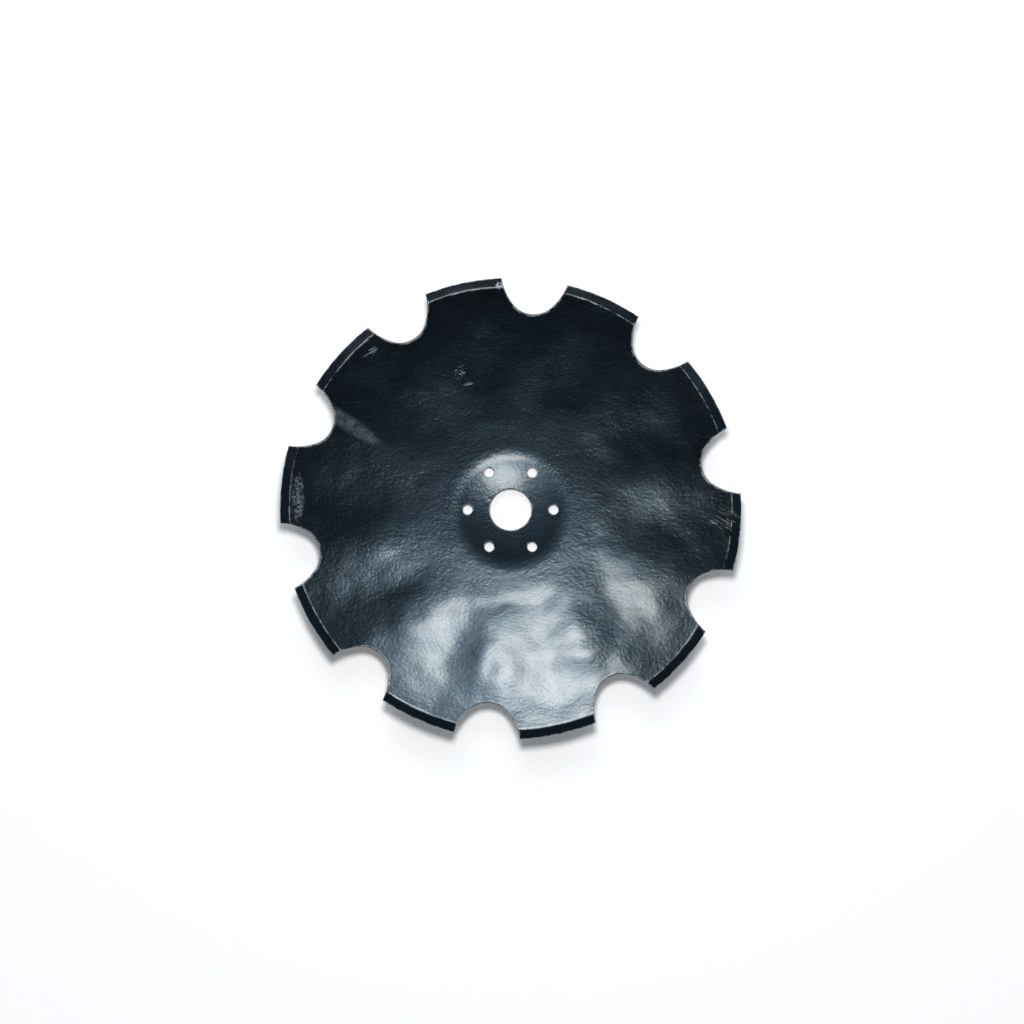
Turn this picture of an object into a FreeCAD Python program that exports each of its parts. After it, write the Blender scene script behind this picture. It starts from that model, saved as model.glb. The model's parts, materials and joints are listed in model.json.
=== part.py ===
import FreeCAD, Part
import math
import os

import Sketcher
from FreeCAD import Placement, Rotation, Vector

# A notched harrow disc blade: one round steel plate, pressed into a shallow spherical dish.
# +Z is the axis of the centre hole and points to the hollow side. The blade lies on its convex
# back, and the origin is on the axis, level with the trough ring that the back rests on.
# The six bolt holes start at +X. Lengths are in millimetres and angles in degrees.

NODE = "disc_blade"
SIZES = {
    "blade_diameter": 560,
    "plate_thickness": 6,
    "dish_radius": 620,          # hollow face of the dish
    "trough_radius": 70,         # ring round the hub where the plate turns from dome to dish
    "trough_bend_radius": 60,    # hollow face of that turn
    "hub_dome_radius": 330,      # hub pressed back towards the hollow side
    "bevel_width": 11,           # ground band on the hollow face, measured across the rim
    "edge_land": 0.6,            # thickness left at the cutting edge
    "centre_hole_diameter": 51,
    "bolt_circle_diameter": 105,
    "bolt_hole_diameter": 12,
    "bolt_count": 6,
    "notch_count": 10,
    "notch_depth": 41,           # rim to notch floor, on the convex face
    "notch_floor_radius": 30.5,
    "notch_floor_span": 96,      # angle of the floor arc
    "notch_flank_radius": 80,
    "notch_azimuth": 12,         # first notch, counter-clockwise from +X
    "cutter_overrun": 15,        # how far a cutting outline runs past the plate
}
ORIGIN_POINT = (-1, 1)
X_AXIS = -1
Y_AXIS = -2
START, END, CENTRE = range(1, 4)   # how Sketcher numbers the points of a line or an arc
# Height of the dish's centre of curvature, and of the hollow and convex faces at a radius.
TROUGH_BEND_HEIGHT = "(Sizes.trough_bend_radius + Sizes.plate_thickness)"
DISH_CENTRE_HEIGHT = (
    f"({TROUGH_BEND_HEIGHT} + sqrt((Sizes.dish_radius - Sizes.trough_bend_radius)^2"
    " - Sizes.trough_radius^2))"
)
RIM = "(Sizes.blade_diameter / 2)"
BEVEL_INNER = f"({RIM} - Sizes.bevel_width)"
NOTCH_FLOOR = f"({RIM} - Sizes.notch_depth)"
BACK_RADIUS = "(Sizes.dish_radius + Sizes.plate_thickness)"


def hollow_height(radius):
    """Expression for the height of the hollow face of the dish at a radius."""
    return f"({DISH_CENTRE_HEIGHT} - sqrt(Sizes.dish_radius^2 - {radius}^2))"


def back_height(radius):
    """Expression for the height of the convex face of the dish at a radius."""
    return f"({DISH_CENTRE_HEIGHT} - sqrt({BACK_RADIUS}^2 - {radius}^2))"


def make_sheet(doc):
    """The spreadsheet of driving dimensions, one alias for each."""
    sheet = doc.addObject("Spreadsheet::Sheet", "Sizes")
    for row, (name, value) in enumerate(SIZES.items(), start=1):
        sheet.set(f"A{row}", name)
        sheet.set(f"B{row}", str(value))
        sheet.setAlias(f"B{row}", name)
    doc.recompute()
    return sheet


def origin_feature(body, role):
    """The body's own origin plane or axis with that role."""
    return next(f for f in body.Origin.OriginFeatures if f.Role == role)


def make_sketch(body, name, support):
    """A sketch that lies on a plane of the body."""
    sketch = body.newObject("Sketcher::SketchObject", name)
    sketch.AttachmentSupport = [(support, "")]
    sketch.MapMode = "FlatFace"
    return sketch


def constrain(sketch, kind, *where, size=None, start=0.0):
    """Adds a constraint. With a size, an expression drives it, and start is its first value."""
    if size is None:
        sketch.addConstraint(Sketcher.Constraint(kind, *where))
        return
    index = sketch.addConstraint(Sketcher.Constraint(kind, *where, start))
    sketch.setExpression(f"Constraints[{index}]", size)


def arc(centre_x, centre_y, radius, start_angle, end_angle):
    """A counter-clockwise arc, with its angles in radians."""
    circle = Part.Circle(Vector(centre_x, centre_y, 0), Vector(0, 0, 1), radius)
    return Part.ArcOfCircle(circle, start_angle, end_angle)


def line(start, end):
    return Part.LineSegment(Vector(*start, 0), Vector(*end, 0))


def polygon(sketch, points):
    """A closed run of lines through the points. Gives the index of its first line."""
    first = len(sketch.Geometry)
    sketch.addGeometry([line(a, b) for a, b in zip(points, points[1:] + points[:1])])
    for step in range(len(points)):
        following = first + (step + 1) % len(points)
        constrain(sketch, "Coincident", first + step, END, following, START)
    return first


def place_point(sketch, geometry, end, across, up, start):
    """Holds the end of a line at two driven distances from the origin."""
    constrain(sketch, "DistanceX", *ORIGIN_POINT, geometry, end, size=across, start=start[0])
    constrain(sketch, "DistanceY", *ORIGIN_POINT, geometry, end, size=up, start=start[1])


def press_plate(body, sizes):
    """The dished plate, revolved from its section: dome, trough bend and dish, both faces."""
    thickness, dish, bend = sizes.plate_thickness, sizes.dish_radius, sizes.trough_bend_radius
    dome, trough, rim = sizes.hub_dome_radius, sizes.trough_radius, sizes.blade_diameter / 2
    bend_height = bend + thickness
    dish_height = bend_height + math.sqrt((dish - bend) ** 2 - trough**2)
    dome_height = bend_height - math.sqrt((dome + bend) ** 2 - trough**2)
    dome_turn = math.asin(trough / (dome + bend))
    dish_turn = math.asin(trough / (dish - bend))
    down, up = -math.pi / 2, math.pi / 2

    sketch = make_sketch(body, "PlateSection", origin_feature(body, "XZ_Plane"))
    faces = []
    for offset in (0, thickness):
        rim_turn = math.asin(rim / (dish + offset))
        faces.append((
            arc(0, dome_height, dome - offset, up - dome_turn, up),
            arc(trough, bend_height, bend + offset, down - dome_turn, down + dish_turn),
            arc(0, dish_height, dish + offset, down + dish_turn, down + rim_turn),
        ))
    hollow_dome, hollow_bend, hollow_dish = sketch.addGeometry(list(faces[0]))
    back_dome, back_bend, back_dish = sketch.addGeometry(list(faces[1]))
    hub_line, edge_line = sketch.addGeometry([
        line((0, dome_height + dome - thickness), (0, dome_height + dome)),
        line((rim, dish_height - math.sqrt((dish + thickness) ** 2 - rim**2)),
             (rim, dish_height - math.sqrt(dish**2 - rim**2))),
    ])

    for hollow, back in ((hollow_dome, back_dome), (hollow_bend, back_bend), (hollow_dish, back_dish)):
        constrain(sketch, "Coincident", hollow, CENTRE, back, CENTRE)
    for dome_arc, bend_arc, dish_arc in (
        (hollow_dome, hollow_bend, hollow_dish), (back_dome, back_bend, back_dish),
    ):
        constrain(sketch, "Tangent", dome_arc, START, bend_arc, START)
        constrain(sketch, "Tangent", bend_arc, END, dish_arc, START)
        constrain(sketch, "PointOnObject", dome_arc, END, Y_AXIS)
    constrain(sketch, "PointOnObject", hollow_dome, CENTRE, Y_AXIS)
    constrain(sketch, "PointOnObject", hollow_dish, CENTRE, Y_AXIS)
    constrain(sketch, "Coincident", hub_line, START, back_dome, END)
    constrain(sketch, "Coincident", hub_line, END, hollow_dome, END)
    constrain(sketch, "Coincident", edge_line, START, back_dish, END)
    constrain(sketch, "Coincident", edge_line, END, hollow_dish, END)
    constrain(sketch, "Vertical", edge_line)
    constrain(sketch, "Radius", hollow_dome, size="Sizes.hub_dome_radius", start=dome)
    constrain(sketch, "Radius", hollow_bend, size="Sizes.trough_bend_radius", start=bend)
    constrain(sketch, "Radius", hollow_dish, size="Sizes.dish_radius", start=dish)
    constrain(sketch, "Radius", back_dish, size=BACK_RADIUS, start=dish + thickness)
    place_point(sketch, hollow_bend, CENTRE, "Sizes.trough_radius", TROUGH_BEND_HEIGHT,
                (trough, bend_height))
    constrain(sketch, "DistanceX", *ORIGIN_POINT, edge_line, START, size=RIM, start=rim)

    plate = body.newObject("PartDesign::Revolution", "Plate")
    plate.Profile = sketch
    plate.ReferenceAxis = (sketch, ["V_Axis"])
    plate.Angle = 360
    return sketch


def grind_bevel(body, sizes):
    """The cutting bevel, ground on the hollow face from the rim inwards."""
    rim = sizes.blade_diameter / 2
    inner, outer = rim - sizes.bevel_width, rim + sizes.cutter_overrun
    dish_height = sizes.trough_bend_radius + sizes.plate_thickness + math.sqrt(
        (sizes.dish_radius - sizes.trough_bend_radius) ** 2 - sizes.trough_radius**2
    )
    inner_height = dish_height - math.sqrt(sizes.dish_radius**2 - inner**2)
    back_radius = sizes.dish_radius + sizes.plate_thickness
    edge_height = dish_height - math.sqrt(back_radius**2 - rim**2) + sizes.edge_land
    top = inner_height + sizes.cutter_overrun

    sketch = make_sketch(body, "BevelSection", origin_feature(body, "XZ_Plane"))
    bevel_line = polygon(sketch, [
        (inner, inner_height), (rim, edge_height), (outer, edge_height), (outer, top), (inner, top),
    ])
    outer_line, top_line, inner_line = bevel_line + 2, bevel_line + 3, bevel_line + 4
    constrain(sketch, "Horizontal", bevel_line + 1)
    constrain(sketch, "Vertical", outer_line)
    constrain(sketch, "Horizontal", top_line)
    constrain(sketch, "Vertical", inner_line)
    place_point(sketch, bevel_line, START, BEVEL_INNER, hollow_height(BEVEL_INNER),
                (inner, inner_height))
    place_point(sketch, bevel_line, END, RIM, f"{back_height(RIM)} + Sizes.edge_land",
                (rim, edge_height))
    place_point(sketch, top_line, START, f"{RIM} + Sizes.cutter_overrun",
                f"{hollow_height(BEVEL_INNER)} + Sizes.cutter_overrun", (outer, top))

    groove = body.newObject("PartDesign::Groove", "Bevel")
    groove.Profile = sketch
    groove.ReferenceAxis = (sketch, ["V_Axis"])
    groove.Angle = 360


def punch_notches(body, sizes, axis):
    """The scallop notches, punched square to the plate, so their walls lean with the dish."""
    floor, flank = sizes.notch_floor_radius, sizes.notch_flank_radius
    half_span = math.radians(sizes.notch_floor_span / 2)
    mouth = sizes.notch_depth + sizes.cutter_overrun
    flank_x = floor + (flank - floor) * math.cos(half_span)
    flank_y = (flank - floor) * math.sin(half_span)
    mouth_turn = math.acos((mouth - flank_x) / flank)
    mouth_y = flank * math.sin(mouth_turn) - flank_y

    radial = body.newObject("PartDesign::Plane", "NotchDirection")
    radial.AttachmentSupport = [(origin_feature(body, "XY_Plane"), "")]
    radial.MapMode = "FlatFace"
    radial.AttachmentOffset = Placement(Vector(), Rotation(Vector(0, 0, 1), sizes.notch_azimuth))
    radial.setExpression("AttachmentOffset.Rotation.Angle", "Sizes.notch_azimuth")

    sketch = make_sketch(body, "NotchOutline", radial)
    tilt = math.degrees(math.asin(
        (sizes.blade_diameter / 2 - sizes.notch_depth) / (sizes.dish_radius + sizes.plate_thickness)
    ))
    sketch.AttachmentOffset = Placement(Vector(), Rotation(Vector(0, -1, 0), tilt))
    sketch.setExpression("AttachmentOffset.Base.x", NOTCH_FLOOR)
    sketch.setExpression("AttachmentOffset.Base.z", back_height(NOTCH_FLOOR))
    sketch.setExpression("AttachmentOffset.Rotation.Angle", f"asin({NOTCH_FLOOR} / {BACK_RADIUS})")

    floor_arc, upper, lower, mouth_line = sketch.addGeometry([
        arc(floor, 0, floor, math.pi - half_span, math.pi + half_span),
        arc(flank_x, -flank_y, flank, mouth_turn, math.pi - half_span),
        arc(flank_x, flank_y, flank, half_span - math.pi, -mouth_turn),
        line((mouth, -mouth_y), (mouth, mouth_y)),
    ])
    constrain(sketch, "PointOnObject", floor_arc, CENTRE, X_AXIS)
    constrain(sketch, "DistanceX", *ORIGIN_POINT, floor_arc, CENTRE,
              size="Sizes.notch_floor_radius", start=floor)
    constrain(sketch, "Radius", floor_arc, size="Sizes.notch_floor_radius", start=floor)
    constrain(sketch, "Vertical", floor_arc, START, floor_arc, END)
    constrain(sketch, "Angle", floor_arc, size="Sizes.notch_floor_span", start=2 * half_span)
    constrain(sketch, "Tangent", floor_arc, START, upper, END)
    constrain(sketch, "Tangent", floor_arc, END, lower, START)
    constrain(sketch, "Radius", upper, size="Sizes.notch_flank_radius", start=flank)
    constrain(sketch, "Radius", lower, size="Sizes.notch_flank_radius", start=flank)
    constrain(sketch, "Coincident", mouth_line, START, lower, END)
    constrain(sketch, "Coincident", mouth_line, END, upper, START)
    constrain(sketch, "Vertical", mouth_line)
    constrain(sketch, "DistanceX", *ORIGIN_POINT, mouth_line, START,
              size="Sizes.notch_depth + Sizes.cutter_overrun", start=mouth)

    notch = body.newObject("PartDesign::Pocket", "Notch")
    notch.Profile = sketch
    notch.SideType = "Symmetric"
    notch.Type = "ThroughAll"
    repeat_around(body, notch, "Notches", axis, "Sizes.notch_count")


def repeat_around(body, feature, name, axis, count):
    """Repeats a cut evenly round the blade's axis."""
    pattern = body.newObject("PartDesign::PolarPattern", name)
    pattern.Originals = [feature]
    pattern.Axis = (axis, ["V_Axis"])
    pattern.Angle = 360
    pattern.setExpression("Occurrences", count)
    body.Tip = pattern


def drill(body, name, diameter, offset, start_diameter):
    """A round hole along +Z, at a driven distance from the axis along +X."""
    sketch = make_sketch(body, f"{name}Sketch", origin_feature(body, "XY_Plane"))
    circle = sketch.addGeometry(
        Part.Circle(Vector(start_diameter, 0, 0), Vector(0, 0, 1), start_diameter / 2)
    )
    constrain(sketch, "Diameter", circle, size=diameter, start=start_diameter)
    if offset:
        constrain(sketch, "PointOnObject", circle, CENTRE, X_AXIS)
        constrain(sketch, "DistanceX", *ORIGIN_POINT, circle, CENTRE, size=offset, start=start_diameter)
    else:
        constrain(sketch, "Coincident", circle, CENTRE, *ORIGIN_POINT)
    body.Document.recompute()
    hole = body.newObject("PartDesign::Hole", name)
    hole.Profile = sketch
    hole.setExpression("Diameter", diameter)
    hole.DepthType = "ThroughAll"
    hole.DrillPoint = "Flat"
    hole.Reversed = True
    body.Document.recompute()
    return hole


def build_blade(doc, sheet):
    body = doc.addObject("PartDesign::Body", "DiscBlade")
    body.Label = NODE
    section = press_plate(body, sheet)
    doc.recompute()
    grind_bevel(body, sheet)
    doc.recompute()
    punch_notches(body, sheet, section)
    doc.recompute()
    drill(body, "CentreHole", "Sizes.centre_hole_diameter", None, sheet.centre_hole_diameter)
    bolt_hole = drill(body, "BoltHole", "Sizes.bolt_hole_diameter", "Sizes.bolt_circle_diameter / 2",
                      sheet.bolt_hole_diameter)
    repeat_around(body, bolt_hole, "BoltHoles", section, "Sizes.bolt_count")
    doc.recompute()
    return body


def check(doc, bodies):
    """Stops on a failed object, a null or invalid shape, or a body in several pieces."""
    for item in doc.Objects:
        if {"Invalid", "Error"} & set(item.State):
            raise RuntimeError(f"{item.Label} failed: {item.State}")
    for body in bodies:
        if body.Shape.isNull() or not body.Shape.isValid() or len(body.Shape.Solids) != 1:
            raise RuntimeError(f"{body.Label} isn't one valid solid")


def main():
    doc = FreeCAD.newDocument("HarrowDiscBlade")
    sheet = make_sheet(doc)
    blade = build_blade(doc, sheet)
    check(doc, [blade])
    os.makedirs("parts", exist_ok=True)
    blade.Shape.exportStep(f"parts/{blade.Label}.step")


main()
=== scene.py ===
"""Harrow disc blade: the finished plate, its stage and its camera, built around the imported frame.

Everything is in metres. The blade lies on its back, with its hollow face up and its axis on Z."""
import json
import math

import bpy
import numpy as np
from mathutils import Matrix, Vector, kdtree, noise
from mathutils.geometry import delaunay_2d_cdt


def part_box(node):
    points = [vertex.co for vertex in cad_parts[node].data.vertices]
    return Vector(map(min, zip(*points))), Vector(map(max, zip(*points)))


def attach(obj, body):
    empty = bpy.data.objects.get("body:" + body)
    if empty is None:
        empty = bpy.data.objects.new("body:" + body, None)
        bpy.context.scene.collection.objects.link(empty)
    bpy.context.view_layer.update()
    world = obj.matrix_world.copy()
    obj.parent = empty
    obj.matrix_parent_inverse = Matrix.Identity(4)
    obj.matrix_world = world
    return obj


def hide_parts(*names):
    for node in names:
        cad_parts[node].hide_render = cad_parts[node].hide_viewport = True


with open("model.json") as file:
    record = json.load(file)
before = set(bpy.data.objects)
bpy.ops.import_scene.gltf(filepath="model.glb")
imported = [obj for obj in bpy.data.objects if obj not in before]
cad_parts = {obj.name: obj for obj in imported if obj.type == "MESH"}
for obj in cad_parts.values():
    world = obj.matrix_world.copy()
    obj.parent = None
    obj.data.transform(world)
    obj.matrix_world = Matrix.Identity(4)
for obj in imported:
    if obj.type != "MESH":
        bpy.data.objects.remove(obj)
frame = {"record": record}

bl_info = {
    "name": "Harrow disc blade",
    "version": (1, 0, 0),
    "blender": (4, 5, 0),
    "location": "3D View > Sidebar > Blade",
    "description": "Builds a notched harrow disc blade with its dipped finish, stage and camera",
    "category": "Object",
}

NODE = "disc_blade"
MOUNTS = {mount["name"]: mount["dims"] for mount in frame["record"]["mounts"]}
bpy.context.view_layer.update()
RIM = (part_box(NODE)[1].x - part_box(NODE)[0].x) / 2
HOLE = MOUNTS["centre_hole"]["r_mm"] / 1000
BOLT_CIRCLE = MOUNTS["hub_bolts"]["pcd_mm"] / 2000
BOLT_HOLE = MOUNTS["hub_bolts"]["hole_r_mm"] / 1000
BOLT_COUNT = MOUNTS["hub_bolts"]["count"]

# The pressed section, measured on the hollow face.
PLATE = 0.006
DISH = 0.620
TROUGH = 0.070
BEND = 0.060
DOME = 0.330
BEVEL_LINE = RIM - 0.011
EDGE_LAND = 0.0006
BEND_HEIGHT = BEND + PLATE
DISH_HEIGHT = BEND_HEIGHT + math.sqrt((DISH - BEND) ** 2 - TROUGH ** 2)
DOME_HEIGHT = BEND_HEIGHT - math.sqrt((DOME + BEND) ** 2 - TROUGH ** 2)

# The notches, as they are punched: square to the plate at the middle of their floors.
NOTCHES = 10
FIRST_NOTCH = math.radians(12)
SECTOR = math.tau / NOTCHES
NOTCH_FLOOR = RIM - 0.041
FLOOR_ARC = 0.0305
FLOOR_TURN = math.radians(48)
FLANK_ARC = 0.080
PUNCH_TILT = math.asin(NOTCH_FLOOR / (DISH + PLATE))

# The waves that quenching leaves. The first two grow between a pair of radii, and the ripple then
# eases towards the rim and in one oval: middle, turn in degrees, half length and half width.
RIPPLE_GROWS = (0.11, 0.19)
WANDER_GROWS = (0.084, 0.125)
RIPPLE_EASES = (0.195, 0.25)
RIM_EASE = 0.5
CALM_OVAL = ((0.150, -0.100), 35, 0.070, 0.055)
CALM = 0.55
BROAD_WANDER, NARROW_WANDER, NARROW_SHARE = 0.06, 0.026, 0.4

# Swellings of the pressed face and, below zero, dents: height, then an oval as above.
SWELLINGS = (
    (0.0005, (-0.010, -0.117), 2, 0.080, 0.012),
    (-0.0007, (0.086, -0.178), 14, 0.034, 0.014),
    (-0.0005, (0.040, -0.178), 4, 0.030, 0.012),
    (-0.0006, (-0.038, -0.190), 80, 0.045, 0.010),
    (0.0005, (-0.062, -0.168), 70, 0.035, 0.014),
    (0.0004, (-0.130, -0.090), 35, 0.045, 0.015),
)

# How the faces are divided: spacing of their points, the room kept round the edge loops as a share
# of it, the turn in radians from ring to ring, the rings that keep the bevel's edge crisp, and the
# points along each stretch of the outline and round each hole.
FACE_STEP = 0.0028
BACK_STEP = 0.0042
ROOM = 0.6
RING_TURN = 0.618
CREASE = 0.0004
FLOOR_POINTS, FLANK_POINTS, MOUTH_POINTS, TOOTH_POINTS = 11, 9, 7, 36
HOLE_POINTS, BOLT_POINTS = 96, 40

EDGE_ROUND = 0.0005          # rounding of the punched edges

# Marks on the hollow face, and one painted highlight streak, each in an oval as above.
CHIPPED_CORNER = ((-0.014, 0.271), 60, 0.006, 0.005)
TOOTH_SCRATCHES = ((0.259, -0.014), -32, 0.022, 0.02)
SHORT_SCRATCHES = ((-0.171, 0.19), 33, 0.014, 0.005)
FINE_SCRATCH = ((-0.052, 0.153), 10, 0.008, 0.002)
# painted highlight: a bright streak by a notch, drawn in bare steel colour
HIGHLIGHT_STREAK = ((-0.198, 0.104), -33, 0.06, 0.013)
SPLASH = ((-0.062, 0.168), 50, 0.012, 0.008)
TOOTH_SCUFF = ((-0.2585, 0.013), 90, 0.038, 0.01)
HUB_SCUFF = ((-0.027, 0.014), 60, 0.009, 0.004)

SHADE_ON_BEVEL_AND_WALLS = (0.008, 0.008, 0.009, 1)      # painted shade on the ground bevel and the punched walls
WHITE = (1, 1, 1, 1)


class BladeShape(bpy.types.PropertyGroup):
    """What quenching and pressing left in the plate."""
    ripple: bpy.props.FloatProperty(
        name="Ripple", description="Height of the ripple that quenching leaves between the notches",
        default=0.0019, min=0, max=0.004, subtype="DISTANCE", unit="LENGTH")
    wander: bpy.props.FloatProperty(
        name="Wander", description="Height of the irregular hollows and swellings of the pressed face",
        default=0.0011, min=0, max=0.004, subtype="DISTANCE", unit="LENGTH")


class BladeFinish(bpy.types.PropertyGroup):
    """The dipped paint and what shows through it; its steel colour also paints highlights."""
    paint: bpy.props.FloatVectorProperty(
        name="Paint", description="Body of the dipped paint where it mirrors the light",
        default=(0.066, 0.098, 0.126), min=0, max=1, size=3, subtype="COLOR")
    # Bare steel colour, also used for the painted highlights on the edges and in the streak.
    steel: bpy.props.FloatVectorProperty(
        name="Steel", description="Bare steel on rubbed edges",
        default=(0.32, 0.36, 0.39), min=0, max=1, size=3, subtype="COLOR")
    gloss: bpy.props.FloatProperty(
        name="Roughness", description="Roughness of the dipped paint", default=0.29, min=0, max=1)
    grain: bpy.props.FloatProperty(
        name="Grain", description="Depth of the paint's orange-peel grain", default=0.00034,
        min=0, max=0.001, subtype="DISTANCE", unit="LENGTH")


class BladeStage(bpy.types.PropertyGroup):
    """The floor, the lamps and the camera."""
    floor: bpy.props.FloatVectorProperty(
        name="Floor", description="Colour of the floor", default=(0.88, 0.88, 0.88), min=0, max=1, size=3,
        subtype="COLOR")
    window: bpy.props.FloatProperty(
        name="Window", description="Brightness of the large soft window that the blade mirrors",
        default=4.6, min=0)
    key_power: bpy.props.FloatProperty(
        name="Key lamp", description="Power of the small lamp that throws the shadow", default=76, min=0,
        unit="POWER")
    near_power: bpy.props.FloatProperty(
        name="Near lamp", description="Power of the soft lamp that the hub mirrors", default=0.62, min=0,
        unit="POWER")
    lean: bpy.props.FloatProperty(
        name="Lean", description="Angle between the camera's axis and the blade's",
        default=math.radians(1.7), subtype="ANGLE", unit="ROTATION")


# ---------------------------------------------------------------- shape

def section_height(radius, depth):
    """Height of the pressed plate at each radius: depth 0 is the hollow face, PLATE the back."""
    dome, bend, dish = DOME - depth, BEND + depth, DISH + depth
    dome_ends = TROUGH * dome / (dome + bend)
    dish_starts = TROUGH * dish / (dish - bend)
    on_dome = DOME_HEIGHT + np.sqrt(dome ** 2 - np.minimum(radius, dome_ends) ** 2)
    across = np.clip(radius, dome_ends, dish_starts) - TROUGH
    in_bend = BEND_HEIGHT - np.sqrt(bend ** 2 - across ** 2)
    on_dish = DISH_HEIGHT - np.sqrt(dish ** 2 - np.maximum(radius, dish_starts) ** 2)
    return np.where(radius < dome_ends, on_dome, np.where(radius < dish_starts, in_bend, on_dish))


def face_height(radius, depth):
    """As section_height, with the ground bevel on the hollow face."""
    pressed = section_height(radius, depth)
    if depth:
        return pressed
    start = section_height(np.array(BEVEL_LINE), 0)
    end = section_height(np.array(RIM), PLATE) + EDGE_LAND
    share = (radius - BEVEL_LINE) / (RIM - BEVEL_LINE)
    return np.where(radius > BEVEL_LINE, start + share * (end - start), pressed)


def smooth_step(value, low, high):
    """0 up to low, 1 from high on, and smooth between them."""
    share = np.clip((value - low) / (high - low), 0, 1)
    return share * share * (3 - 2 * share)


def swelling(x, y, middle, turn, half_length, half_width):
    """A soft mound of height 1: an oval with its long side turned from +X."""
    c, s = math.cos(math.radians(turn)), math.sin(math.radians(turn))
    along = (x - middle[0]) * c + (y - middle[1]) * s
    across = (y - middle[1]) * c - (x - middle[0]) * s
    return np.exp(-(along / half_length) ** 2 - (across / half_width) ** 2)


def rough_ground(x, y, size, layer):
    """Smooth random heights between -1 and 1, in features of about that size."""
    return np.array([noise.noise((u / size, v / size, layer)) for u, v in zip(x, y)])


def quenched(x, y):
    """Height of the soft waves that pressing and quenching left in the plate."""
    shape = bpy.context.scene.blade_shape
    radius = np.hypot(x, y)
    turn = np.arctan2(y, x) - FIRST_NOTCH
    reach = smooth_step(radius, *RIPPLE_GROWS) * (1 - RIM_EASE * smooth_step(radius, *RIPPLE_EASES))
    calm = 1 - CALM * swelling(x, y, *CALM_OVAL)
    ripple = -shape.ripple * reach * calm * np.cos(turn * NOTCHES)
    broad = rough_ground(x, y, BROAD_WANDER, 7.3)
    narrow = rough_ground(x, y, NARROW_WANDER, 2.1)
    wander = (broad + NARROW_SHARE * narrow) * smooth_step(radius, *WANDER_GROWS)
    waves = sum(height * swelling(x, y, *form) for height, *form in SWELLINGS)
    return ripple + shape.wander * wander + waves


def lift(points, depth):
    """Places on the plan raised to a face of the plate."""
    x, y = points[:, 0], points[:, 1]
    z = face_height(np.hypot(x, y), depth) + quenched(x, y)
    return np.column_stack((x, y, z))


def punch(angle, depth):
    """Plan of the punched edge on a face, for angles along its outline from the middle of the floor."""
    floor_angle = np.minimum(angle, FLOOR_TURN)
    along = FLOOR_ARC * (1 - np.cos(floor_angle))
    across = FLOOR_ARC * np.sin(floor_angle)
    flank_angle = np.maximum(angle, FLOOR_TURN)
    along = along + FLANK_ARC * (math.cos(FLOOR_TURN) - np.cos(flank_angle))
    across = across + FLANK_ARC * (np.sin(flank_angle) - math.sin(FLOOR_TURN))
    foot = float(section_height(np.array(NOTCH_FLOOR), PLATE))
    travel = np.full_like(along, PLATE - depth)
    for _ in range(20):
        out = NOTCH_FLOOR + along * math.cos(PUNCH_TILT) - travel * math.sin(PUNCH_TILT)
        up = foot + along * math.sin(PUNCH_TILT) + travel * math.cos(PUNCH_TILT)
        travel = travel + face_height(np.hypot(out, across), depth) - up
    return np.column_stack((out, across))


def angle_at(radius, depth):
    """The outline angle at which the punched edge reaches a radius."""
    low, high = FLOOR_TURN, math.pi / 2
    for _ in range(50):
        middle = (low + high) / 2
        reach = np.hypot(*punch(np.array([middle]), depth)[0])
        low, high = (middle, high) if reach < radius else (low, middle)
    return low


def turned(points, angle):
    """Plan points turned about the axis."""
    c, s = math.cos(angle), math.sin(angle)
    return points @ np.array([[c, s], [-s, c]])


def circle(radius, count, centre=(0.0, 0.0)):
    """Evenly spaced plan points on a circle, anticlockwise."""
    angles = np.arange(count) * math.tau / count
    return np.column_stack((centre[0] + radius * np.cos(angles), centre[1] + radius * np.sin(angles)))


def notch_plan(depth):
    """One notch's edge on a face, mouth to mouth, with its middle on +X."""
    bevel, mouth = angle_at(BEVEL_LINE, depth), angle_at(RIM, depth)
    angles = np.concatenate((
        np.linspace(0, FLOOR_TURN, FLOOR_POINTS)[:-1],
        np.linspace(FLOOR_TURN, bevel, FLANK_POINTS)[:-1],
        np.linspace(bevel, mouth, MOUTH_POINTS)))
    half = punch(angles, depth)
    return np.vstack((half[:0:-1] * (1, -1), half))


def outline(depth):
    """The whole outer edge of a face, anticlockwise."""
    notch = notch_plan(depth)
    mouth = math.atan2(notch[-1, 1], notch[-1, 0])
    tooth_angles = np.linspace(mouth, SECTOR - mouth, TOOTH_POINTS)[1:-1]
    tooth = RIM * np.column_stack((np.cos(tooth_angles), np.sin(tooth_angles)))
    sector = np.vstack((notch, tooth))
    return np.vstack([turned(sector, FIRST_NOTCH + SECTOR * k) for k in range(NOTCHES)])


def into_plate(loop, gap):
    """A closed anticlockwise loop moved to its left by gap, which may differ from point to point."""
    ahead = np.roll(loop, -1, axis=0) - loop
    ahead /= np.linalg.norm(ahead, axis=1)[:, None]
    left = np.column_stack((-ahead[:, 1], ahead[:, 0]))
    before = np.roll(left, 1, axis=0)
    mitre = (left + before) / (1 + (left * before).sum(axis=1))[:, None]
    return loop + mitre * np.reshape(gap, (-1, 1))


def edge_loops():
    """Each closed edge of the plate, as a pair of plan loops on the hollow face and on the back."""
    pairs = [(outline(0), outline(PLATE))]
    hole = circle(HOLE, HOLE_POINTS)[::-1]
    pairs.append((hole, hole))
    for k in range(BOLT_COUNT):
        angle = math.tau * k / BOLT_COUNT
        middle = (BOLT_CIRCLE * math.cos(angle), BOLT_CIRCLE * math.sin(angle))
        bolt = circle(BOLT_HOLE, BOLT_POINTS, middle)[::-1]
        pairs.append((bolt, bolt))
    return pairs


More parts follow.
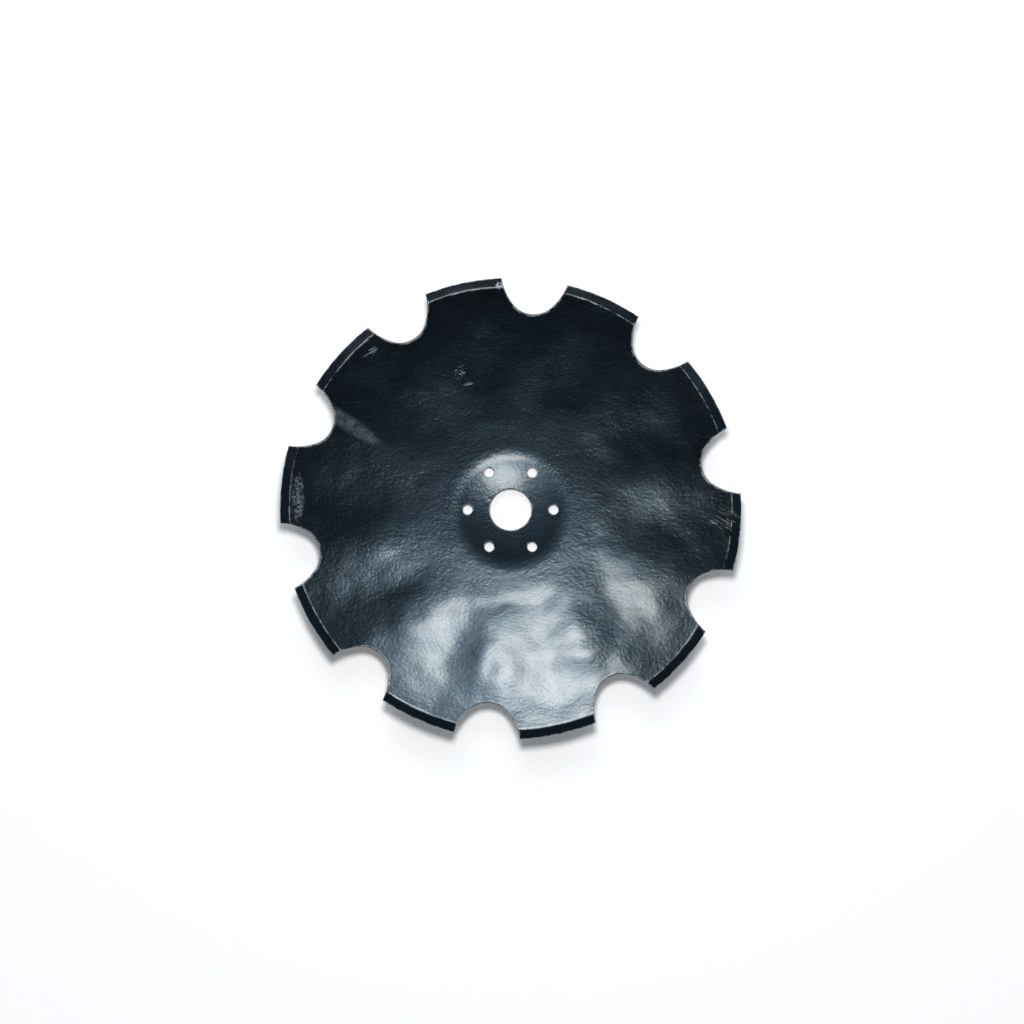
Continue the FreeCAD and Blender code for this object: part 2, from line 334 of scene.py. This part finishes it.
def cut_walls(front, back):
    """Rings of points down a cut edge, from one face to the other, with both corners rounded."""
    top, bottom = lift(front, 0), lift(back, PLATE)
    down = bottom - top
    height = np.linalg.norm(down, axis=1)
    down /= height[:, None]
    rounding = np.minimum(EDGE_ROUND, 0.3 * height)
    step = rounding[:, None]
    on_front, on_back = into_plate(front, rounding), into_plate(back, rounding)
    inner_top, inner_bottom = lift(on_front, 0), lift(on_back, PLATE)
    bulge = 1 - math.sqrt(0.5)
    rings = [
        inner_top,
        top + bulge * (inner_top - top) + bulge * step * down,
        top + step * down,
        bottom - step * down,
        bottom + bulge * (inner_bottom - bottom) - bulge * step * down,
        inner_bottom]
    return on_front, on_back, rings


def inside(points, polygon):
    """Which points lie inside a polygon."""
    result = np.zeros(len(points), bool)
    x, y = points[:, 0], points[:, 1]
    for (ax, ay), (bx, by) in zip(polygon, np.roll(polygon, -1, axis=0)):
        crosses = (ay > y) != (by > y)
        if ay != by:
            result ^= crosses & (x < (bx - ax) * (y - ay) / (by - ay) + ax)
    return result


def on_plate(points, notch, gap):
    """Which plan points lie on the plate, more than gap from the round holes."""
    radius = np.hypot(points[:, 0], points[:, 1])
    azimuth = np.arctan2(points[:, 1], points[:, 0])
    turn = (azimuth - FIRST_NOTCH + SECTOR / 2) % SECTOR - SECTOR / 2
    beyond = [(2 * RIM, notch[-1, 1]), (2 * RIM, notch[0, 1])]
    sector = np.column_stack((radius * np.cos(turn), radius * np.sin(turn)))
    bolt_turn = (azimuth + math.pi / BOLT_COUNT) % (math.tau / BOLT_COUNT) - math.pi / BOLT_COUNT
    to_bolt = np.hypot(radius * np.cos(bolt_turn) - BOLT_CIRCLE, radius * np.sin(bolt_turn))
    return ~inside(sector, np.vstack((notch, beyond))) & (to_bolt > BOLT_HOLE + gap) & (radius > HOLE + gap)


def ring_points(step, extra):
    """Points in rings about the axis, about as far apart as the rings are."""
    count = round((RIM - HOLE) / step)
    radii = sorted(list(np.linspace(HOLE + step, RIM - step, count)) + extra)
    rings = []
    for k, radius in enumerate(radii):
        around = max(12, round(math.tau * radius / step))
        rings.append(turned(circle(radius, around), k * RING_TURN))
    return np.vstack(rings)


def fill_face(loops, depth, step, extra):
    """A face between its edge loops: its points, its triangles and each point's distance to the edge.

    A second loop runs close behind each edge loop, so that the rounding has a face to end on."""
    second = [into_plate(loop, EDGE_ROUND) for loop in loops]
    edge_points = np.vstack(loops + second)
    tree = kdtree.KDTree(len(edge_points))
    for index, (x, y) in enumerate(edge_points):
        tree.insert((x, y, 0), index)
    tree.balance()
    spread = ring_points(step, extra)
    spread = spread[on_plate(spread, notch_plan(depth), EDGE_ROUND)]
    clear = [tree.find((x, y, 0))[2] > ROOM * step for x, y in spread]
    points = np.vstack((edge_points, spread[clear]))
    edges, owner = [], np.full(len(points), -1)
    start = 0
    for number, loop in enumerate(loops):
        count = len(loop)
        edges += [(start + k, start + (k + 1) % count) for k in range(count)]
        owner[start:start + count] = number
        start += count
    flat, _, triangles, _, _, _ = delaunay_2d_cdt([Vector(p) for p in points], edges, [], 0, 1e-7)
    if len(flat) != len(points):
        raise RuntimeError("a face's edge loops meet each other")
    triangles = np.array(triangles)
    corners = owner[triangles]
    across_gap = (corners[:, 0] >= 0) & (corners[:, 0] == corners[:, 1]) & (corners[:, 1] == corners[:, 2])
    reach = np.array([tree.find((x, y, 0))[2] for x, y in points])
    reach[len(edge_points) // 2:len(edge_points)] = EDGE_ROUND
    return points, triangles[~across_gap], reach


def plate_mesh():
    """The whole plate as one closed mesh.

    It stores cut, which is 1 on the punched walls, and reach, the distance to the nearest edge."""
    front_loops, back_loops, walls = [], [], []
    for front, back in edge_loops():
        on_front, on_back, rings = cut_walls(front, back)
        front_loops.append(on_front)
        back_loops.append(on_back)
        walls.append(rings)
    crease = [BEVEL_LINE - CREASE, BEVEL_LINE, BEVEL_LINE + CREASE]
    front_points, front_triangles, front_reach = fill_face(front_loops, 0, FACE_STEP, crease)
    back_points, back_triangles, back_reach = fill_face(back_loops, PLATE, BACK_STEP, [])
    points = [lift(front_points, 0), lift(back_points, PLATE)]
    faces = [tuple(t) for t in front_triangles]
    back_start = len(front_points)
    faces += [tuple(back_start + t[::-1]) for t in back_triangles]
    total = back_start + len(back_points)
    front_start = 0
    cut, reach = [np.zeros(total)], [front_reach, back_reach]
    for rings in walls:
        count = len(rings[0])
        starts = [front_start]
        for ring in rings[1:-1]:
            starts.append(total)
            points.append(ring)
            cut.append(np.ones(count))
            reach.append(np.zeros(count))
            total += count
        starts.append(back_start)
        for upper, lower in zip(starts, starts[1:]):
            for k in range(count):
                n = (k + 1) % count
                faces.append((upper + k, lower + k, lower + n, upper + n))
        front_start += count
        back_start += count
    mesh = bpy.data.meshes.new("blade_plate")
    mesh.from_pydata([tuple(p) for p in np.vstack(points)], [], faces)
    mesh.validate()
    mesh.update()
    for name, values in (("cut", cut), ("reach", reach)):
        mesh.attributes.new(name, "FLOAT", "POINT").data.foreach_set("value", np.concatenate(values))
    mesh.shade_smooth()
    return mesh


# ---------------------------------------------------------------- finish

class Signal:
    """A number in a material, worked on with Python's own operators."""

    def __init__(self, nodes, socket):
        self.nodes = nodes
        self.socket = socket

    def maths(self, operation, *values):
        return self.nodes.make("ShaderNodeMath", {"operation": operation}, dict(enumerate(values)))

    def __add__(self, other):
        return self.maths("ADD", self, other)

    def __radd__(self, other):
        return self.maths("ADD", other, self)

    def __sub__(self, other):
        return self.maths("SUBTRACT", self, other)

    def __rsub__(self, other):
        return self.maths("SUBTRACT", other, self)

    def __mul__(self, other):
        return self.maths("MULTIPLY", self, other)

    def __rmul__(self, other):
        return self.maths("MULTIPLY", other, self)

    def __truediv__(self, other):
        return self.maths("DIVIDE", self, other)

    def __pow__(self, other):
        return self.maths("POWER", self, other)

    def size(self):
        return self.maths("ABSOLUTE", self)

    def larger(self, other):
        return self.maths("MAXIMUM", self, other)

    def fade(self, low, high):
        """0 up to low, 1 from high on, and smooth between them; low may be the larger one."""
        return self.nodes.make("ShaderNodeMapRange", {"interpolation_type": "SMOOTHSTEP"},
                               {"Value": self, "From Min": low, "From Max": high})


class Nodes:
    """The node tree of one material or world."""

    def __init__(self, tree):
        self.tree = tree
        tree.nodes.clear()

    def make(self, kind, settings=None, sockets=None, output=0):
        """Adds a node, sets it up, feeds its sockets and gives one of its outputs."""
        node = self.tree.nodes.new(kind)
        for name, value in (settings or {}).items():
            setattr(node, name, value)
        for name, value in (sockets or {}).items():
            if isinstance(value, Signal):
                self.tree.links.new(value.socket, node.inputs[name])
            else:
                node.inputs[name].default_value = value
        return Signal(self, node.outputs[output]) if node.outputs else node

    def place(self):
        return self.make("ShaderNodeTexCoord", output="Object")

    def split(self, vector):
        """The three parts of a vector."""
        node = self.make("ShaderNodeSeparateXYZ", None, {0: vector}).socket.node
        return [Signal(self, out) for out in node.outputs]

    def join(self, x, y, z=0.0):
        return self.make("ShaderNodeCombineXYZ", None, {0: x, 1: y, 2: z})

    def stored(self, name):
        """A value that the mesh holds at its points."""
        return self.make("ShaderNodeAttribute", {"attribute_name": name}, output="Fac")

    def noise(self, vector, size, detail=2.0, rough=0.5):
        """Soft random spots of about that size, in metres."""
        return self.make("ShaderNodeTexNoise", None, {
            "Vector": vector, "Scale": 1 / size, "Detail": detail, "Roughness": rough})

    def mix(self, share, low, high, blend="MIX"):
        """A colour between two or, with blend ADD, the first with a share of the second on top."""
        sockets = {"Factor": share, 6: low, 7: high}
        return self.make("ShaderNodeMix", {"data_type": "RGBA", "blend_type": blend}, sockets, output=2)


def rgba(colour, strength=1.0):
    """A colour with its strength worked in, and an alpha of 1."""
    return (*(strength * part for part in colour), 1.0)


def new_material(name):
    """A material and its empty node tree."""
    material = bpy.data.materials.new(name)
    material.use_nodes = True
    return material, Nodes(material.node_tree)


def dipped_paint():
    """Blue-black dipped paint over pressed steel, bared to the steel on its edges; bare steel also paints
    highlights along those edges and one highlight streak, and painted shade darkens the bevel and the
    punched walls.
    """
    finish = bpy.context.scene.blade_finish
    material, nodes = new_material("dipped_paint")
    place = nodes.place()
    x, y, z = nodes.split(place)
    radius = (x * x + y * y) ** 0.5
    hollow_face = nodes.split(nodes.make("ShaderNodeTexCoord", output="Normal"))[2].fade(0.1, 0.4)
    bevel = radius.fade(BEVEL_LINE - 0.0002, BEVEL_LINE + 0.0002) * hollow_face
    cut, reach = nodes.stored("cut"), nodes.stored("reach")
    peel = nodes.noise(nodes.join(x * 0.85, y, z), 0.0036)
    skin = nodes.noise(nodes.join(x * 0.75, y, z), 0.014, 3.0, 0.6)
    mottle = nodes.noise(place, 0.05, 3.0, 0.6)
    patchy = nodes.noise(place, 0.011, 4.0, 0.65)
    fine = nodes.noise(place, 0.0025, 3.0, 0.6)

    def oval(middle, turn, half_length, half_width):
        """Lengths along and across a turned oval, and a mask that fades towards its edge."""
        c, s = math.cos(math.radians(turn)), math.sin(math.radians(turn))
        right, up = x - middle[0], y - middle[1]
        along, across = right * c + up * s, up * c - right * s
        share_along, share_across = along / half_length, across / half_width
        mask = (share_along * share_along + share_across * share_across).fade(1.0, 0.2)
        return along, across, mask * hollow_face

    def scratches(place_and_size, width, share):
        """Fine lines along an oval, about that wide; a larger share leaves fewer."""
        along, across, mask = oval(*place_and_size)
        lines = nodes.noise(nodes.join(along * 0.05, across), width, 1.0)
        return mask * lines.fade(share, share + 0.06) * patchy.fade(0.35, 0.5)

    def scuff(place_and_size, share):
        """Small spots in an oval; a larger share leaves fewer."""
        mask = oval(*place_and_size)[2]
        return (fine * 0.6 + patchy * 0.4).fade(share, share + 0.06) * mask

    # Bared to the steel: the bevel's inner edge and the punched edges, partly real wear and partly painted
    # highlight, and one chipped corner.
    bevel_edge_highlight = (radius - (BEVEL_LINE - 0.0002)).size().fade(0.0009, 0.0003) * hollow_face
    punched_edge_highlight = reach.fade(0.0013, 0.0003) * (1 - cut * 0.6) * hollow_face
    rubbed_and_highlit = (bevel_edge_highlight * patchy.fade(0.38, 0.6) * 0.8 + punched_edge_highlight * patchy.fade(0.42, 0.56) * 0.8
              + scuff(CHIPPED_CORNER, 0.42)).fade(0.0, 1.0)
    # Scratches and scuffs, which show paler than the paint, and one painted highlight streak near a notch.
    streak_highlight = (fine * 0.4 + peel * 0.3 + patchy * 0.3).fade(0.15, 0.75) * 0.7
    marks_and_highlight = (scratches(TOOTH_SCRATCHES, 0.0016, 0.56) + scratches(SHORT_SCRATCHES, 0.0016, 0.5)
             + oval(*HIGHLIGHT_STREAK)[2] * streak_highlight + scuff(SPLASH, 0.5) + scratches(FINE_SCRATCH, 0.0014, 0.4)
             + scuff(TOOTH_SCUFF, 0.48) * 0.7 + scuff(HUB_SCUFF, 0.5)).fade(0.0, 1.0)
    # Pale dots, one in a few of the cells of a loose net.
    net = {"Vector": place, "Scale": 1 / 0.024}
    dots = nodes.make("ShaderNodeTexVoronoi", None, net, output="Distance")
    dots = dots.fade(0.034, 0.02) * hollow_face * patchy.fade(0.52, 0.58)
    # Wear, scratches and scuffs, with the painted highlights on the edges and the streak, all drawn in bare
    # steel colour.
    wear_and_highlight = rubbed_and_highlit.larger((marks_and_highlight * 0.8).larger(dots * 0.7))
    paint = nodes.mix(mottle, rgba(finish.paint, 0.8), rgba(finish.paint, 1.2))
    # Painted shade: the ground bevel and the punched walls darkened almost to black.
    paint = nodes.mix((bevel * 0.72).larger(cut * 0.85), paint, SHADE_ON_BEVEL_AND_WALLS)
    paint = nodes.mix(wear_and_highlight, paint, rgba(finish.steel))
    relief = nodes.make("ShaderNodeBump", None, {
        "Strength": 1.0, "Distance": finish.grain, "Height": (peel + skin * 1.5) * (1 - bevel * 0.7)})
    rough = (finish.gloss + (mottle - 0.5) * 0.14 + (patchy - 0.5) * 0.1
             - bevel * 0.1 + wear_and_highlight * 0.15 + cut * 0.2)
    shader = nodes.make("ShaderNodeBsdfPrincipled", None, {
        "Base Color": paint, "Metallic": 1 - wear_and_highlight * 0.6, "Roughness": rough,
        "Coat Weight": (1 - bevel * 0.5) * (1 - wear_and_highlight * 0.8), "Coat Roughness": 0.16, "Coat IOR": 1.5,
        "Normal": relief})
    nodes.make("ShaderNodeOutputMaterial", None, {"Surface": shader})
    return material


# ---------------------------------------------------------------- stage

def floor_material():
    """A matt pale floor, a little brighter to the camera alone."""
    stage = bpy.context.scene.blade_stage
    material, nodes = new_material("pale_floor")
    matt = nodes.make("ShaderNodeBsdfDiffuse", None, {"Color": rgba(stage.floor)})
    seen = nodes.make("ShaderNodeLightPath", output="Is Camera Ray")
    glow = nodes.make("ShaderNodeEmission", None, {"Color": WHITE, "Strength": seen * 0.15})
    both = nodes.make("ShaderNodeAddShader", None, {0: matt, 1: glow})
    nodes.make("ShaderNodeOutputMaterial", None, {"Surface": both})
    return material


def hang_lamp(name, power, place, lean):
    """An area lamp that faces down, with its face leaned from the vertical."""
    lamp = bpy.data.lights.new(name, "AREA")
    lamp.energy = power
    body = bpy.data.objects.new(name, lamp)
    body.location = place
    body.rotation_euler = (-lean, 0, 0)
    bpy.context.scene.collection.objects.link(body)
    return lamp, body


def key_lamp():
    """A small lamp high on the +Y side, which throws the shadow and isn't mirrored in the paint."""
    power = bpy.context.scene.blade_stage.key_power
    angle, distance = math.radians(7.5), 3.2
    place = (0, distance * math.sin(angle), distance * math.cos(angle))
    lamp, body = hang_lamp("key_lamp", power, place, angle)
    lamp.size = 0.44
    body.visible_glossy = False


def near_lamp():
    """A soft lamp close above the +Y side, seen only as a reflection: on the hub and low on the dish."""
    power = bpy.context.scene.blade_stage.near_power
    lamp, body = hang_lamp("near_lamp", power, (-0.045, 0.2, 0.58), math.radians(20))
    lamp.shape = "ELLIPSE"
    lamp.size, lamp.size_y = 0.22, 0.15
    lamp.color = (1.0, 0.9, 0.8)
    body.visible_camera = False
    body.visible_diffuse = False


def surroundings():
    """A dim sky with one large soft window on the +Y side, and a pale band round the horizon."""
    stage = bpy.context.scene.blade_stage
    world = bpy.data.worlds.new("studio")
    bpy.context.scene.world = world
    world.use_nodes = True
    nodes = Nodes(world.node_tree)
    direction = nodes.make("ShaderNodeTexCoord", output="Generated")
    side, ahead, height = nodes.split(direction)
    lean = nodes.make("ShaderNodeMath", {"operation": "ARCTAN2"}, {0: ahead, 1: height})

    def between(start, full, fall, end):
        """A soft band of angles from the vertical towards +Y, in degrees."""
        start, full, fall, end = (math.radians(angle) for angle in (start, full, fall, end))
        return lean.fade(start, full) * lean.fade(end, fall)

    def beside(middle, flat, end):
        """A soft band of sideways directions, as sines."""
        return (side - middle).size().fade(end, flat)

    # The dim sky towards +Y, the window and the window's bright middle: where, how bright, what colour.
    glows = (
        (between(-50, 14, 50, 72) * beside(0.0, 0.1, 0.8), 0.2, (0.72, 1.0, 1.25)),
        (between(6, 28, 46, 58) * beside(0.07, 0.14, 0.5), 0.25 * stage.window, (0.94, 1.0, 1.06)),
        (between(26, 38, 44, 56) * beside(-0.11, 0.06, 0.3), 0.5 * stage.window, (1.12, 1.0, 0.9)))
    colour = nodes.mix(height.fade(0.42, 0.2), (0.01, 0.015, 0.018, 1), (0.76, 0.77, 0.78, 1))
    for share, strength, tint in glows:
        colour = nodes.mix(share, colour, rgba(tint, strength), blend="ADD")
    seen = nodes.make("ShaderNodeLightPath", output="Is Camera Ray")
    colour = nodes.mix(seen, colour, WHITE)
    sky = nodes.make("ShaderNodeBackground", None, {"Color": colour, "Strength": 1.0})
    nodes.make("ShaderNodeOutputWorld", None, {"Surface": sky})


def place_camera():
    """A long lens that looks down on the hollow face."""
    stage = bpy.context.scene.blade_stage
    distance, frame_width = 6.0, 1.2418
    lens = bpy.data.cameras.new("camera")
    lens.sensor_width = 36
    lens.lens = lens.sensor_width * distance / frame_width
    camera = bpy.data.objects.new("camera", lens)
    aim = Vector((0.0016, -0.0048, section_height(np.array(RIM), 0)))
    camera.location = aim + distance * Vector((0, -math.sin(stage.lean), math.cos(stage.lean)))
    camera.rotation_euler = (stage.lean, 0, 0)
    bpy.context.scene.collection.objects.link(camera)
    bpy.context.scene.camera = camera


class BLADE_OT_plate(bpy.types.Operator):
    """Build the pressed, punched and ground plate with its dipped finish"""
    bl_idname = "blade.plate"
    bl_label = "Plate"

    def execute(self, context):
        plate = bpy.data.objects.new("blade_plate", plate_mesh())
        context.scene.collection.objects.link(plate)
        plate.data.materials.append(dipped_paint())
        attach(plate, "root")
        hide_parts(NODE)
        return {"FINISHED"}


class BLADE_OT_stage(bpy.types.Operator):
    """Set up the floor, the lamps, the surroundings and the camera"""
    bl_idname = "blade.stage"
    bl_label = "Stage"

    def execute(self, context):
        mesh = bpy.data.meshes.new("floor")
        half = 6.0
        mesh.from_pydata([(-half, -half, 0), (half, -half, 0), (half, half, 0), (-half, half, 0)], [],
                         [(0, 1, 2, 3)])
        floor = bpy.data.objects.new("floor", mesh)
        context.scene.collection.objects.link(floor)
        mesh.materials.append(floor_material())
        key_lamp()
        near_lamp()
        surroundings()
        place_camera()
        context.scene.view_settings.view_transform = "Standard"
        return {"FINISHED"}


class BLADE_PT_panel(bpy.types.Panel):
    """The blade's pieces, in the order that they are made"""
    bl_label = "Harrow disc blade"
    bl_idname = "BLADE_PT_panel"
    bl_space_type = "VIEW_3D"
    bl_region_type = "UI"
    bl_category = "Blade"

    def draw(self, context):
        for group in GROUPS.values():
            for name in group.__annotations__:
                self.layout.prop(getattr(context.scene, GROUP_NAMES[group]), name)
        for operator in OPERATORS:
            self.layout.operator(operator.bl_idname)


GROUPS = {"blade_shape": BladeShape, "blade_finish": BladeFinish, "blade_stage": BladeStage}
GROUP_NAMES = {group: name for name, group in GROUPS.items()}
OPERATORS = (BLADE_OT_plate, BLADE_OT_stage)


def register():
    for group in (*GROUPS.values(), *OPERATORS, BLADE_PT_panel):
        bpy.utils.register_class(group)
    for name, group in GROUPS.items():
        setattr(bpy.types.Scene, name, bpy.props.PointerProperty(type=group))


def unregister():
    for name in GROUPS:
        delattr(bpy.types.Scene, name)
    for group in reversed((*GROUPS.values(), *OPERATORS, BLADE_PT_panel)):
        bpy.utils.unregister_class(group)


def main():
    register()
    bpy.ops.blade.plate()
    bpy.ops.blade.stage()


if __name__ == "__main__":
    main()
